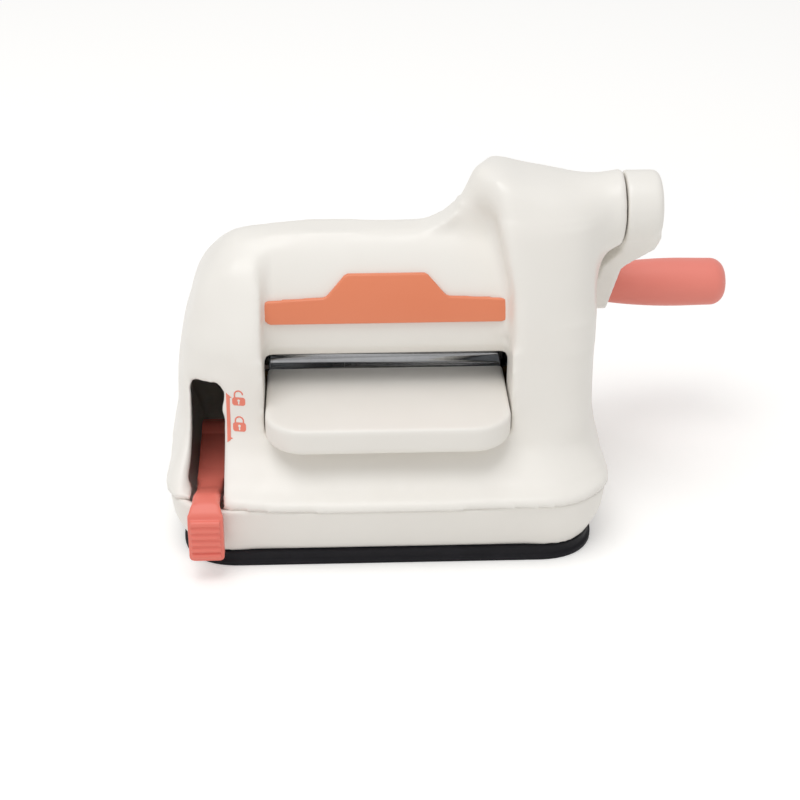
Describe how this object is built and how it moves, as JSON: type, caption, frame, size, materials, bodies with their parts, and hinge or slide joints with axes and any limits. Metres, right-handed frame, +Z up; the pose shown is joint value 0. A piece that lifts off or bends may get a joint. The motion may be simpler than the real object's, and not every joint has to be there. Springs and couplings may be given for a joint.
{
  "type": "die cutting machine",
  "caption": "Hand-cranked tabletop die cutting machine: moulded housing with a feed slot between geared steel rollers, side crank, and a lever-locked suction base.",
  "frame": {"origin": "centre of the suction pad underside, on the table", "axes": "+X to the crank side, -Y to the feeding front, +Z up"},
  "size_m": [0.186, 0.1114, 0.1134],
  "materials": {
    "white_abs": "satin moulded warm white",
    "black_rubber": "matte black",
    "orange_trim": "satin orange",
    "coral_lever": "satin coral",
    "coral_grip": "soft matte coral",
    "roller_steel": "ground and polished",
    "gear_steel": "machined",
    "plain_steel": "plain",
    "bush_brass": "plain",
    "grey_nylon": "plain"
  },
  "bodies": {
    "housing": {"suction_pad": "black_rubber", "base_tray": "white_abs", "top_housing": "white_abs", "crank_bush": "bush_brass", "front_trim": "orange_trim", "front_platform": "white_abs", "rear_platform": "white_abs", "left_side_frame": "plain_steel", "right_side_frame": "plain_steel", "gear_cover_plate": "plain_steel", "upper_left_bush": "bush_brass", "upper_right_bush": "bush_brass", "lower_left_bush": "bush_brass", "lower_right_bush": "bush_brass", "lever_bracket": "grey_nylon", "front_tie_rod": "plain_steel", "rear_tie_rod": "plain_steel", "top_tie_rod": "plain_steel", "lower_front_post": "plain_steel", "lower_rear_post": "plain_steel", "upper_front_post": "plain_steel", "upper_rear_post": "plain_steel"},
    "crank": {"crank_arm": "white_abs", "crank_shaft": "plain_steel", "crank_pinion": "gear_steel", "handle_spindle": "plain_steel"},
    "grip": {"handle_grip": "coral_grip"},
    "upper_roller": {"upper_roller": "roller_steel", "upper_roller_gear": "gear_steel", "drive_gear": "gear_steel"},
    "lower_roller": {"lower_roller": "roller_steel", "lower_roller_gear": "gear_steel"},
    "lever": {"suction_lever": "coral_lever", "lever_shaft": "plain_steel", "eccentric_cam": "grey_nylon"},
    "stem": {"pull_stem": "grey_nylon", "stem_plate": "plain_steel"}
  },
  "joints": [
    {"name": "upper_roller_turn", "type": "hinge", "parent": "housing", "child": "upper_roller", "pos_m": [0, 0, 0.0655], "axis": [1, 0, 0], "continuous": true},
    {"name": "lower_roller_turn", "type": "hinge", "parent": "housing", "child": "lower_roller", "pos_m": [0, 0, 0.0355], "axis": [1, 0, 0], "continuous": true},
    {"name": "crank_turn", "type": "hinge", "parent": "housing", "child": "crank", "pos_m": [0, 0, 0.097], "axis": [1, 0, 0], "continuous": true},
    {"name": "grip_spin", "type": "hinge", "parent": "crank", "child": "grip", "pos_m": [0, 0.03587, 0.0527], "axis": [1, 0, 0], "continuous": true},
    {"name": "lever_unlock", "type": "hinge", "parent": "housing", "child": "lever", "pos_m": [0, 0, 0.015], "axis": [-1, 0, 0], "range_deg": [0, 26]},
    {"name": "stem_drop", "type": "slide", "parent": "housing", "child": "stem", "axis": [0, 0, -1], "range_m": [0, 0.00136]}
  ],
  "couplings": [
    {"joint": "lower_roller_turn", "follows": "upper_roller_turn", "ratio": -1},
    {"joint": "crank_turn", "follows": "upper_roller_turn", "ratio": -2.5},
    {"joint": "stem_drop", "follows": "lever_unlock", "m_per_rad": 0.002974}
  ]
}
